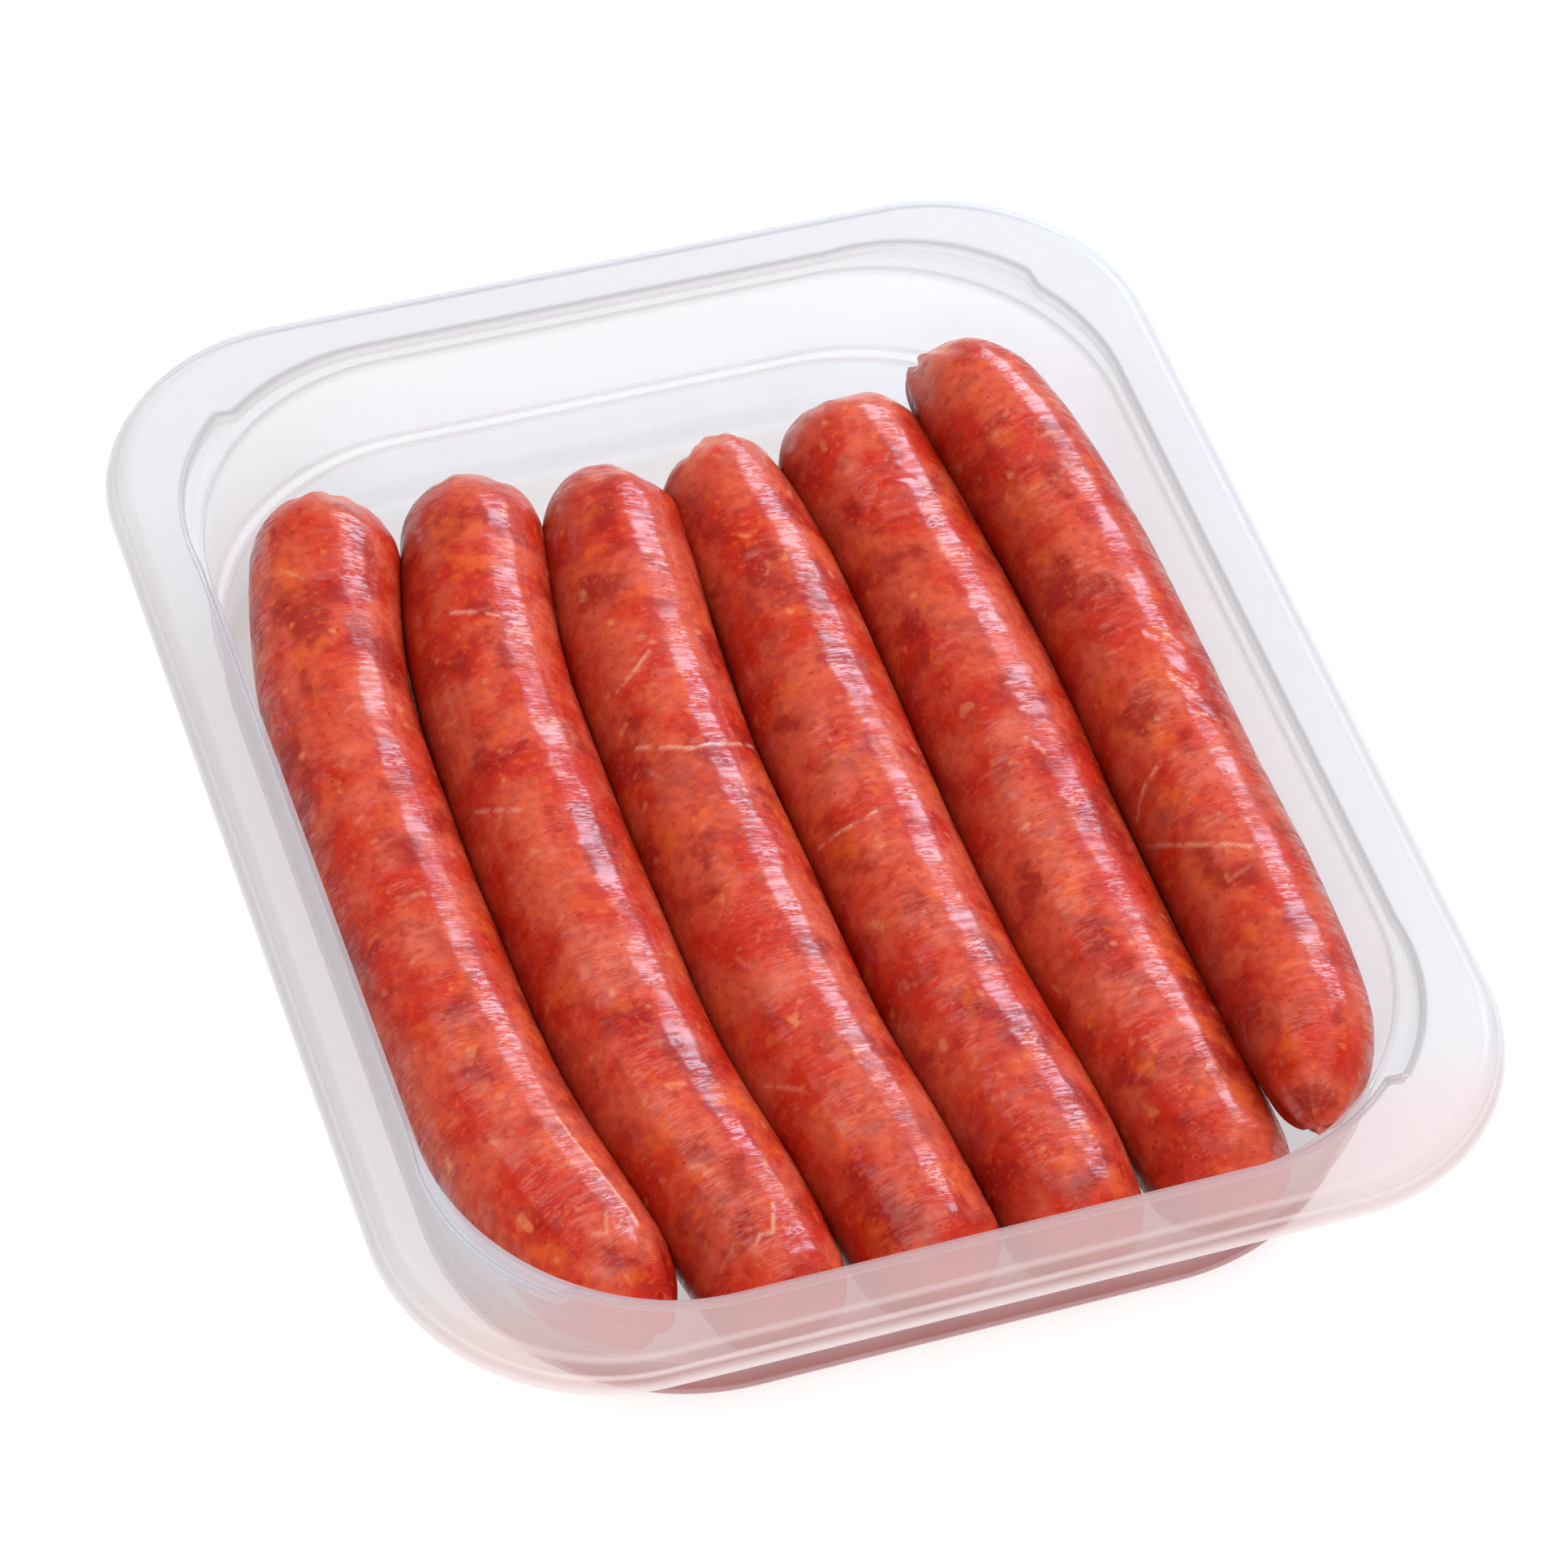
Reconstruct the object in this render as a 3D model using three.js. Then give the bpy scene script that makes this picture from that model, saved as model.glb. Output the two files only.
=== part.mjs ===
// Six raw sausages side by side in an open, clear thermoformed tray.
// Millimetres, +Z up. X runs across the sausages and Y along them. The origin is
// on the standing plane, under the centre of the tray.

import * as THREE from 'three';

// Tray.
const SHEET = 0.7;
const TRAY_HEIGHT = 35;
const MOUTH_WIDTH = 156.5;
const MOUTH_LENGTH = 195.5;
const FLANGE_FLAT = 7.2;
const LIP_REACH = 3.25;
const LIP_DROP = 3.9;
const BASE_INSET = 3.9;
const BASE_ROUNDING = 5;
const STEP_HEIGHT = 13.4;
const STEP_INSET = 1.5;
const LEDGE_HEIGHT = 31.6;
const LEDGE_INSET = 0.7;
const MOUTH_CORNER = 38.5;
const FOLD_CORNER = 32;
const LIP_CORNER = 35;
const BASE_CORNER = 40.5;
const CORNER_STEPS = 9;

// Crescent stacking lugs: the mouth edge steps out to a tighter corner between two
// angles of the corner, seen from above, and ends abruptly at the second angle.
const LUG_CORNER = 33.5;
const LUG_END_STEP = 1.2;
const LUGS = [
  { side: 0, end: -47 },
  { side: 90, end: 36 },
  { side: 180, end: 131 },
  { side: 180, end: 232 },
];

// Sausages: the centre line's x and the radius at these stations along y, how high
// each station is held off the floor, and where each end tapers off.
const STATIONS = [72, 44, 15, -15, -44, -72];
const REST_GAP = 0.3;
const TAPER_LENGTH = 34;
const RING_SIDES = 18;
const BODY_RINGS = 18;
const CAP_RINGS = 6;
const SAUSAGES = [
  {
    name: 'sausage_1',
    x: [-54, -60.5, -61.9, -61.8, -60.4, -54.3],
    radius: [12.2, 12, 12, 12, 12.1, 11.9],
    far: { y: 82.8, x: -49.2, cap: 13, power: 1.8, taper: 0 },
    near: { y: -87.6, x: -49, cap: 16, power: 2.1, taper: 0.2 },
  },
  {
    name: 'sausage_2',
    x: [-28.9, -35.1, -36.8, -36.8, -35.5, -30.9],
    radius: [12, 12.25, 12.6, 12.6, 12.3, 12],
    far: { y: 81.2, x: -26.5, cap: 12.5, power: 2, taper: 0.1 },
    near: { y: -93, x: -28.2, cap: 9, power: 2.6, taper: 0.16 },
  },
  {
    name: 'sausage_3',
    x: [-4.9, -9.9, -11.6, -11.4, -10.5, -6.6],
    radius: [12.2, 12.3, 12.2, 12.5, 12.4, 12.1],
    far: { y: 76.6, x: -1.6, cap: 12.5, power: 1.9, taper: 0.18 },
    near: { y: -93.1, x: -4.2, cap: 9, power: 2.6, taper: 0.14 },
  },
  {
    name: 'sausage_4',
    x: [13.3, 14.6, 13.6, 13.8, 14.7, 17.6],
    radius: [12, 11.6, 12.3, 12.1, 12.2, 12.1],
    far: { y: 74.2, x: 11, cap: 6, power: 2.7, taper: 0.36 },
    near: { y: -93.1, x: 19, cap: 9, power: 2.6, taper: 0.16 },
  },
  {
    name: 'sausage_5',
    x: [36.5, 38.7, 39.2, 38.9, 39.7, 41.9],
    radius: [12.7, 12.3, 12.8, 12.8, 12.4, 12.1],
    far: { y: 80.4, x: 36, cap: 10.5, power: 1.8, taper: 0 },
    near: { y: -91.7, x: 43.8, cap: 10, power: 2.4, taper: 0.14 },
  },
  {
    name: 'sausage_6',
    x: [58.4, 63, 63.9, 63.8, 63.9, 61.2],
    radius: [11.6, 11.6, 11.7, 11.7, 11.6, 10.9],
    lift: [7.4, 6.2, 5.9, 5.9, 6.8, 11.2],
    far: { y: 82, x: 52.4, cap: 14, power: 2, taper: 0.18 },
    near: { y: -86, x: 56.6, cap: 20, power: 2.1, taper: 0.25 },
  },
];

// Turns a ring list into a closed solid: every ring has the same number of points,
// and the first and the last close on a single middle point.
function solidFromRings(rings, firstPoint, lastPoint, material) {
  const count = rings[0].length;
  const points = [firstPoint, ...rings.flat(), lastPoint];
  const last = points.length - 1;
  const faces = [];
  for (let k = 0; k < count; k += 1) {
    const next = (k + 1) % count;
    faces.push(0, 1 + next, 1 + k);
    for (let ring = 0; ring < rings.length - 1; ring += 1) {
      const here = 1 + ring * count;
      const above = here + count;
      faces.push(here + k, here + next, above + next);
      faces.push(here + k, above + next, above + k);
    }
    faces.push(last - count + k, last - count + next, last);
  }
  const geometry = new THREE.BufferGeometry().setFromPoints(points);
  geometry.setIndex(faces);
  geometry.computeVertexNormals();
  return new THREE.Mesh(geometry, material);
}

// Rounds the inner points of a broken line. A point is a Vector3 of the offset out
// from the mouth's edge, the height and the corner radius there.
function roundedLine(stations) {
  const line = [stations[0].at];
  for (let k = 1; k < stations.length - 1; k += 1) {
    const { at, rounding, steps } = stations[k];
    const before = stations[k - 1].at.clone().sub(at).setLength(rounding).add(at);
    const after = stations[k + 1].at.clone().sub(at).setLength(rounding).add(at);
    line.push(...new THREE.QuadraticBezierCurve3(before, at, after).getPoints(steps));
  }
  line.push(stations[stations.length - 1].at);
  return line;
}

// The middle of the sheet from the floor up the wall and over the flange to the lip.
function sheetLine() {
  const half = SHEET / 2;
  const top = TRAY_HEIGHT - half;
  const stepInset = BASE_INSET - STEP_INSET;
  const station = (offset, height, corner, rounding, steps) => (
    { at: new THREE.Vector3(offset, height, corner), rounding, steps });
  return roundedLine([
    station(-BASE_INSET - BASE_ROUNDING * 2, half, BASE_CORNER - BASE_ROUNDING * 2),
    station(-BASE_INSET, half, BASE_CORNER, BASE_ROUNDING, 4),
    station(-BASE_INSET + 0.2, STEP_HEIGHT - 0.6, BASE_CORNER, 0.6, 1),
    station(-stepInset, STEP_HEIGHT + 0.6, BASE_CORNER - 0.5, 0.6, 1),
    station(-LEDGE_INSET - 0.5, LEDGE_HEIGHT, MOUTH_CORNER + 1, 0.4, 1),
    station(0, LEDGE_HEIGHT + 0.7, MOUTH_CORNER, 0.3, 1),
    station(0.1, top, MOUTH_CORNER, 0.9, 3),
    station(FLANGE_FLAT, top, FOLD_CORNER, 1, 2),
    station(FLANGE_FLAT + LIP_REACH * 0.6, top - LIP_DROP * 0.4, LIP_CORNER - 1.4, 0.6, 1),
    station(FLANGE_FLAT + LIP_REACH, top - LIP_DROP, LIP_CORNER),
  ]);
}

// How far the crescent lugs push the wall out at an angle round its corner.
function lugPush(degrees) {
  const inLug = LUGS.some(({ side, end }) => (
    degrees >= Math.min(side, end) && degrees <= Math.max(side, end)));
  if (!inLug) {
    return 0;
  }
  const angle = THREE.MathUtils.degToRad(degrees);
  const bulge = Math.abs(Math.cos(angle)) + Math.abs(Math.sin(angle)) - 1;
  return (MOUTH_CORNER - LUG_CORNER) * bulge;
}

// The angles at which a corner has points, with a close pair where a lug ends.
function cornerAngles(start) {
  const angles = [];
  for (let k = 0; k <= CORNER_STEPS; k += 1) {
    angles.push(start + (90 * k) / CORNER_STEPS);
  }
  LUGS.forEach(({ side, end }) => {
    const beyond = end + Math.sign(end - side) * LUG_END_STEP;
    [end, beyond].map((angle) => (angle < start ? angle + 360 : angle))
      .filter((angle) => angle > start && angle < start + 90)
      .forEach((angle) => angles.push(angle));
  });
  return angles.sort((a, b) => a - b);
}

// One rounded rectangle of points round the tray, anticlockwise from above.
function trayRing(offset, height, corner, hasLugs) {
  const halfWidth = MOUTH_WIDTH / 2 + offset - corner;
  const halfLength = MOUTH_LENGTH / 2 + offset - corner;
  const ring = [];
  [[1, 1], [-1, 1], [-1, -1], [1, -1]].forEach(([signX, signY], quarter) => {
    cornerAngles(quarter * 90).forEach((degrees) => {
      const signed = degrees > 270 ? degrees - 360 : degrees;
      const reach = corner + (hasLugs ? lugPush(signed) : 0);
      const angle = THREE.MathUtils.degToRad(degrees);
      ring.push(new THREE.Vector3(
        signX * halfWidth + reach * Math.cos(angle),
        signY * halfLength + reach * Math.sin(angle),
        height,
      ));
    });
  });
  return ring;
}

// One face of the sheet: the middle line moved along its normal by a distance.
function sheetFace(line, distance) {
  return line.map((at, k) => {
    const before = line[Math.max(k - 1, 0)];
    const after = line[Math.min(k + 1, line.length - 1)];
    const run = Math.hypot(after.x - before.x, after.y - before.y);
    const outward = -((after.y - before.y) / run) * distance;
    const upward = ((after.x - before.x) / run) * distance;
    const hasLugs = at.y > LEDGE_HEIGHT + 0.4 && at.x < FLANGE_FLAT / 2;
    return trayRing(at.x + outward, at.y + upward, at.z + outward, hasLugs);
  });
}

function makeTray() {
  const line = sheetLine();
  const under = sheetFace(line, -SHEET / 2);
  const inside = sheetFace(line, SHEET / 2).reverse();
  const material = new THREE.MeshStandardMaterial({
    name: 'clear_plastic', color: 0xe6e6ea, roughness: 0.25, metalness: 0,
    transparent: true, opacity: 0.5,
  });
  const mesh = solidFromRings(
    [...under, ...inside],
    new THREE.Vector3(0, 0, 0),
    new THREE.Vector3(0, 0, SHEET),
    material,
  );
  mesh.name = 'tray';
  return mesh;
}

// Share of the full radius at a distance from one end: a rounded cap of the end's
// own bluntness on a body that thins a little toward it.
function endShare(distance, end) {
  const inCap = Math.max(0, 1 - distance / end.cap);
  const round = (1 - inCap ** end.power) ** (1 / end.power);
  const nearness = Math.max(0, 1 - distance / TAPER_LENGTH);
  return round * (1 - end.taper * nearness ** 2);
}

// Shares of the length where the rings stand, close together in the caps.
function ringPlaces(length, far, near) {
  const places = [];
  for (let k = 1; k < CAP_RINGS; k += 1) {
    const share = 1 - Math.cos((Math.PI / 2) * (k / CAP_RINGS));
    places.push((far.cap * share) / length);
    places.push(1 - (near.cap * share) / length);
  }
  for (let k = 0; k <= BODY_RINGS; k += 1) {
    const along = THREE.MathUtils.lerp(far.cap, length - near.cap, k / BODY_RINGS);
    places.push(along / length);
  }
  return places.sort((a, b) => a - b);
}

function makeSausage({ name, x, radius, far, near, lift = STATIONS.map(() => 0) }, material) {
  const stations = STATIONS.map((y, k) => (
    new THREE.Vector3(x[k], y, SHEET + REST_GAP + radius[k] + lift[k])));
  const first = new THREE.Vector3(far.x, far.y, stations[0].z);
  const last = new THREE.Vector3(near.x, near.y, stations[stations.length - 1].z);
  const centreLine = new THREE.CatmullRomCurve3([first, ...stations, last]);
  const girth = new THREE.SplineCurve([radius[0], ...radius, radius[radius.length - 1]]
    .map((size, k) => new THREE.Vector2(k, size)));
  const length = centreLine.getLength();
  const up = new THREE.Vector3(0, 0, 1);
  const rings = ringPlaces(length, far, near).map((place) => {
    const centre = centreLine.getPointAt(place);
    const along = centreLine.getTangentAt(place);
    const across = new THREE.Vector3().crossVectors(up, along).normalize();
    const share = Math.min(
      endShare(place * length, far),
      endShare((1 - place) * length, near),
    );
    const reach = share * girth.getPoint(centreLine.getUtoTmapping(place)).y;
    return Array.from({ length: RING_SIDES }, (_, k) => {
      const angle = (2 * Math.PI * (k + 0.5)) / RING_SIDES;
      return centre.clone()
        .addScaledVector(across, reach * Math.cos(angle))
        .addScaledVector(up, reach * Math.sin(angle));
    });
  });
  const mesh = solidFromRings(rings, first, last, material);
  mesh.name = name;
  return mesh;
}

const meat = new THREE.MeshStandardMaterial({
  name: 'raw_sausage', color: 0xc4442a, roughness: 0.35, metalness: 0,
});
const pack = new THREE.Group();
pack.add(makeTray());
SAUSAGES.forEach((sizes) => pack.add(makeSausage(sizes, meat)));

export default pack;
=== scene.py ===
"""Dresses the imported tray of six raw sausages: meat, clear tray and studio."""

import math

import bpy
import numpy as np
from bpy.props import FloatProperty, FloatVectorProperty, PointerProperty
from mathutils import Matrix, Vector


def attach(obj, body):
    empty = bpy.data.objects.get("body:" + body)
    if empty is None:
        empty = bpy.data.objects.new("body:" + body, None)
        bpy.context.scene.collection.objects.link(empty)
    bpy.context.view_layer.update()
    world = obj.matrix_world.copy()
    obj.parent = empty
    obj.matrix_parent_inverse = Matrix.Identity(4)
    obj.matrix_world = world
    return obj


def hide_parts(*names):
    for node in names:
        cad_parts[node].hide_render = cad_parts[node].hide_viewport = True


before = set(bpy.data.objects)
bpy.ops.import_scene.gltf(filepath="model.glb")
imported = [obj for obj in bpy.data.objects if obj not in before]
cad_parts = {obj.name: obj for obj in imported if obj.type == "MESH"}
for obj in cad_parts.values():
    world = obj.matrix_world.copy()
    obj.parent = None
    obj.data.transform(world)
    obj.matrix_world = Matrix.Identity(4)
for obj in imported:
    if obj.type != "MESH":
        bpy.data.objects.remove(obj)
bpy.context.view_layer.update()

bl_info = {
    "name": "Tray of raw sausages",
    "version": (1, 0, 0),
    "blender": (4, 5, 0),
    "location": "View3D > Sidebar > Sausages",
    "description": "Raw sausages in a clear tray, with their studio",
    "category": "Object",
}

MM = 0.001
UP = np.array([0.0, 0.0, 1.0])
BODY = "root"

# The tray's sheet, in millimetres, as the solid has it.
SHEET = 0.7
TRAY_HEIGHT = 35.0
MOUTH = (156.5, 195.5)
MOUTH_CORNER = 38.5
LUG_CORNER = 33.5
LUG_END_STEP = 1.2
LUGS = ((0, -47), (90, 36), (180, 131), (180, 232))
LEDGE_HEIGHT = 31.6
FLANGE_FLAT = 7.2

# Points on each bend of the sheet's section, on the half round of its lip, on each corner
# arc and on each straight run between two corners.
BEND_POINTS = 9
LIP_POINTS = 5
ARC_POINTS = 33
RUN_POINTS = 24

# How much of each colour passes one face of the sheet, and the painted highlight white of its bends.
WALL_CLEARNESS = (0.93, 0.924, 0.926)
FLANGE_CLEARNESS = (0.9, 0.892, 0.893)
HIGHLIGHT = (0.97, 0.97, 0.98)

# Where the sheet changes, in metres: toward the near wall, where the meat's pink light is painted on,
# up into the flange, and down and forward into the juice. Each goes from none to all.
NEAR_DEPTH = (-0.082, -0.098)
FLANGE_HEIGHT = (0.0295, 0.0315)
JUICE_HEIGHT = (0.014, 0.004)
JUICE_DEPTH = (-0.076, -0.09)

# How much of the sheet is frost, and what adds to it.
FROST = 0.17
FROST_TURNED = 0.26
FROST_FLANGE = 0.09
FROST_BRIGHT = 0.35
FROST_SHADED = 0.3
FROST_JUICE = 0.3
FROST_TRANSLUCENT = 0.4
# Share of the painted pink light that the meat throws on the sheet by the near wall.
PAINTED_BOUNCE_SHARE = 0.8
JUICE_SHARE = 0.8

# The sausages, in millimetres, as the solids have them: the centre line's x, the radius
# and the lift off the floor at stations along y, and how each end tapers off. Only the
# far end of sausage 4 is blunter here. Press is how far the right and left sides bulge
# against what is beside them, and knobs is the height of the knobs at the far end.
STATIONS_Y = (72.0, 44.0, 15.0, -15.0, -44.0, -72.0)
REST_GAP = 0.3
TAPER_LENGTH = 34.0
ON_FLOOR = (0.0,) * 6
SAUSAGES = (
    dict(
        name="sausage_1", press=(0.4, 0.1), knobs=1.0, lift=ON_FLOOR,
        x=(-54.0, -60.5, -61.9, -61.8, -60.4, -54.3),
        radius=(12.2, 12.0, 12.0, 12.0, 12.1, 11.9),
        far=dict(y=82.8, x=-49.2, cap=13.0, power=1.8, taper=0.0),
        near=dict(y=-87.6, x=-49.0, cap=16.0, power=2.1, taper=0.2),
    ),
    dict(
        name="sausage_2", press=(0.4, 0.4), knobs=0.7, lift=ON_FLOOR,
        x=(-28.9, -35.1, -36.8, -36.8, -35.5, -30.9),
        radius=(12.0, 12.25, 12.6, 12.6, 12.3, 12.0),
        far=dict(y=81.2, x=-26.5, cap=12.5, power=2.0, taper=0.1),
        near=dict(y=-93.0, x=-28.2, cap=9.0, power=2.6, taper=0.16),
    ),
    dict(
        name="sausage_3", press=(0.4, 0.4), knobs=0.5, lift=ON_FLOOR,
        x=(-4.9, -9.9, -11.6, -11.4, -10.5, -6.6),
        radius=(12.2, 12.3, 12.2, 12.5, 12.4, 12.1),
        far=dict(y=76.6, x=-1.6, cap=12.5, power=1.9, taper=0.18),
        near=dict(y=-93.1, x=-4.2, cap=9.0, power=2.6, taper=0.14),
    ),
    dict(
        name="sausage_4", press=(0.4, 0.4), knobs=0.8, lift=ON_FLOOR,
        x=(13.3, 14.6, 13.6, 13.8, 14.7, 17.6),
        radius=(12.0, 11.6, 12.3, 12.1, 12.2, 12.1),
        far=dict(y=76.4, x=12.2, cap=6.0, power=3.0, taper=0.26),
        near=dict(y=-93.1, x=19.0, cap=9.0, power=2.6, taper=0.16),
    ),
    dict(
        name="sausage_5", press=(0.6, 0.4), knobs=1.3, lift=ON_FLOOR,
        x=(36.5, 38.7, 39.2, 38.9, 39.7, 41.9),
        radius=(12.7, 12.3, 12.8, 12.8, 12.4, 12.1),
        far=dict(y=80.4, x=36.0, cap=10.5, power=1.8, taper=0.0),
        near=dict(y=-91.7, x=43.8, cap=10.0, power=2.4, taper=0.14),
    ),
    dict(
        name="sausage_6", press=(0.1, 0.6), knobs=0.3,
        lift=(7.4, 6.2, 5.9, 5.9, 6.8, 11.2),
        x=(58.4, 63.0, 63.9, 63.8, 63.9, 61.2),
        radius=(11.6, 11.6, 11.7, 11.7, 11.6, 10.9),
        far=dict(y=82.0, x=52.4, cap=14.0, power=2.0, taper=0.18),
        near=dict(y=-86.0, x=56.6, cap=20.0, power=2.1, taper=0.25),
    ),
)

ROWS = 400
ROUND = 200
CROWDING = 0.18
SPACING = 250.0

# Pale threads in the casing and folds across it, from the photograph: for each
# sausage, lines of a strength and places (distance from the far tip, degrees round).
SKIN_REACH = 12.2
SKIN_DEGREE = SKIN_REACH * math.pi / 180
THREADS = (
    (
        (1.0, (139, 64), (150, 59), (161, 54)),
        (0.6, (160, 97), (161, 87), (158, 78)),
        (0.5, (22, 126), (25, 108)),
    ),
    (
        (0.8, (36, 117), (37, 100), (38.5, 81)),
        (0.9, (73.5, 146), (76, 128), (78, 113)),
        (1.0, (167, 110), (164.5, 98), (165, 88), (160.5, 77)),
    ),
    (
        (1.0, (65, 131), (69.5, 94), (69, 60), (67, 28)),
        (0.9, (53.5, 131), (51, 110), (48.5, 97)),
        (0.5, (129, 155), (135, 128)),
    ),
    ((0.9, (87.4, 153), (88.2, 124), (87.4, 99)),),
    ((1.0, (85, 90), (88.5, 81)),),
    (
        (0.9, (110, 172), (118, 126), (122.5, 90)),
        (0.9, (105.6, 166), (102.4, 146), (100.5, 124)),
    ),
)
FOLDS = (
    ((0.3, (21, 120), (26, 95), (24, 70)),),
    ((0.3, (37, 110), (38, 80), (36, 50)),),
    ((0.4, (69, 90), (69, 60), (67, 28)),),
    (),
    ((0.4, (30, 121), (25, 100), (27, 77)),),
    (
        (0.5, (59, 115), (64, 95), (63, 78)),
        (0.6, (76, 88), (81, 62), (78, 35)),
        (0.7, (85.5, 84), (89, 66), (86.5, 46)),
        (0.5, (93, 80), (97, 58), (94, 36)),
    ),
)
THREAD_WIDTH, THREAD_HEIGHT = 0.3, 0.12
FOLD_WIDTH, FOLD_DEPTH = 0.7, 0.5

# Short threads strewn over the top of each sausage: how many, the bare lengths left at
# its two ends, the degrees round, the lengths of their three steps, how much their
# direction and bend scatter, and their strengths.
STRAYS = 9
STRAY_ENDS = (4, 8)
STRAY_ROUND = (50, 165)
STRAY_STEP = (0.8, 2.6)
STRAY_HEADING, STRAY_BEND = 0.6, 0.3
STRAY_STRENGTH = (0.1, 0.36)

# The skin's relief, in millimetres: how far it sinks over the top, how much of it the
# pressed sides lose, the reach and size of the knobs of mince at the far tip, and the
# height, reach, length and closeness of the puckers at both tips.
SINK = 0.12
SIDE_SMOOTHING = 0.8
KNOB_REACH, KNOB_SIZE, KNOB_LEVEL = 6.0, 3.0, 0.35
PUCKER_HEIGHT, PUCKER_REACH, PUCKER_LENGTH, PUCKER_CLOSENESS = 1.5, 8.0, 9.0, 3.4

# The mince's colours, each laid over the ones before it: which colour and how much, and
# the noise it follows, by offset, scale, the range it rises over, and fineness.
MINCE = (
    dict(colour="pale", share=1.0, offset=(0.0, 0.0, 0.0), scale=95.0, rise=(0.38, 0.6), fine=3.0),
    dict(colour="dark", share=0.75, offset=(0.7, 0.2, 0.1), scale=125.0, rise=(0.5, 0.68), fine=3.0),
    dict(colour="orange", share=0.7, offset=(0.2, 0.6, 0.9), scale=150.0, rise=(0.55, 0.72), fine=2.0),
    dict(colour="purple", share=0.5, offset=(0.5, 0.1, 0.3), scale=110.0, rise=(0.56, 0.74), fine=2.0),
    dict(colour="fat", share=0.5, offset=(0.3, 0.9, 0.4), scale=310.0, rise=(0.67, 0.8), fine=1.0),
    dict(colour="dark", share=0.35, offset=(0.8, 0.4, 0.2), scale=620.0, rise=(0.36, 0.72), fine=1.0),
    dict(colour="orange", share=0.4, offset=(0.6, 0.2, 0.9), scale=850.0, rise=(0.58, 0.72), fine=1.0),
)

# The studio, in metres: the lights with their power's property, the floor's half width
# and how far it lies below the tray, and the camera.
WARM = (1.0, 0.97, 0.94)
SOFTBOXES = (
    dict(
        name="key", power="key", place=(0.78, 0.70, 0.60), aim=(0, 0, 0.02),
        width=0.56, length=1.0, colour=(0.62, 0.8, 1.0),
    ),
    dict(
        name="overhead", power="fill", place=(-0.1, 0.0, 1.5), aim=(0, 0, 0),
        width=2.2, length=2.2, colour=WARM,
    ),
    dict(
        name="front", power="front", place=(-0.3, -1.3, 0.4), aim=(0, 0, 0),
        width=1.4, length=0.9, colour=WARM,
    ),
)
SKY_STRENGTH = 0.15
FLOOR_HALF = 3.0
FLOOR_DROP = 0.1 * MM
CAMERA_PLACE = (-0.235607, -0.559845, 0.756148)
CAMERA_AIM = (0.003948, 0.008421, 0.0115)
CAMERA_ROLL = 5.433
CAMERA_LENS, CAMERA_SENSOR = 138.91, 36.0


def paint(red, green, blue):
    """The linear colour of a screen colour given as 0 to 255."""
    return tuple(
        c / 12.92 if c <= 0.04045 else ((c + 0.055) / 1.055) ** 2.4
        for c in (red / 255, green / 255, blue / 255)
    )


class Value:
    """A socket that carries one number, so that shader maths reads as arithmetic."""

    def __init__(self, finish, socket):
        self.finish, self.socket = finish, socket

    def math(self, operation, *others):
        settings = {"operation": operation}
        node = self.finish.node("ShaderNodeMath", settings, *((self,) + others))
        return Value(self.finish, node.outputs[0])

    def __add__(self, other):
        return self.math("ADD", other)

    def __sub__(self, other):
        return self.math("SUBTRACT", other)

    def __rsub__(self, other):
        negative = self.math("MULTIPLY", -1.0)
        return negative.math("ADD", other)

    def __mul__(self, other):
        return self.math("MULTIPLY", other)

    __radd__ = __add__
    __rmul__ = __mul__

    def __abs__(self):
        return self.math("ABSOLUTE")

    def between(self, low, high):
        """0 at low, 1 at high, and a smooth change between them."""
        settings = {"interpolation_type": "SMOOTHSTEP"}
        node = self.finish.node("ShaderNodeMapRange", settings, self, low, high)
        return Value(self.finish, node.outputs[0])


class Finish:
    """A material being put together, node by node."""

    def __init__(self, name):
        self.material = bpy.data.materials.new(name)
        self.material.use_nodes = True
        self.tree = self.material.node_tree
        self.tree.nodes.clear()

    def node(self, kind, settings=None, *values, **named):
        """A node of a type, with its settings first and then its sockets' values."""
        node = self.tree.nodes.new(kind)
        for key, value in (settings or {}).items():
            setattr(node, key, value)
        pairs = list(enumerate(values))
        pairs += [(key.replace("_", " "), value) for key, value in named.items()]
        for key, value in pairs:
            self.plug(node.inputs[key], value)
        return node

    def plug(self, socket, value):
        if isinstance(value, Value):
            value = value.socket
        if isinstance(value, bpy.types.NodeSocket):
            self.tree.links.new(value, socket)
        elif value is not None:
            socket.default_value = value

    def stored(self, name):
        """A number that the mesh holds at each point."""
        node = self.node("ShaderNodeAttribute", {"attribute_name": name})
        return Value(self, node.outputs["Fac"])

    def noise(self, place, scale, detail=2.0, roughness=0.5):
        node = self.node(
            "ShaderNodeTexNoise", None, Vector=place, Scale=scale, Detail=detail,
            Roughness=roughness,
        )
        return Value(self, node.outputs["Fac"])

    def stretched(self, place, scale):
        node = self.node("ShaderNodeMapping", None, place, Scale=scale)
        return node.outputs[0]

    def moved(self, place, offset):
        node = self.node("ShaderNodeMapping", None, place, Location=offset)
        return node.outputs[0]

    def mix(self, factor, first, second):
        """One colour going over to another."""
        node = self.node("ShaderNodeMix", {"data_type": "RGBA"})
        self.plug(node.inputs[0], factor)
        for socket, value in ((node.inputs[6], first), (node.inputs[7], second)):
            self.plug(socket, (*value, 1.0) if isinstance(value, tuple) else value)
        return node.outputs[2]

    def blend(self, share, first, second):
        """One shader going over to another."""
        shaders = first.outputs[0], second.outputs[0]
        return self.node("ShaderNodeMixShader", None, share, *shaders)

    def plain(self, kind, colour):
        """A shader that has a colour and nothing else to set."""
        return self.node(kind, None, Color=(*colour, 1.0))

    def close(self, shader):
        self.node("ShaderNodeOutputMaterial", None, Surface=shader.outputs[0])
        return self.material


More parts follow.
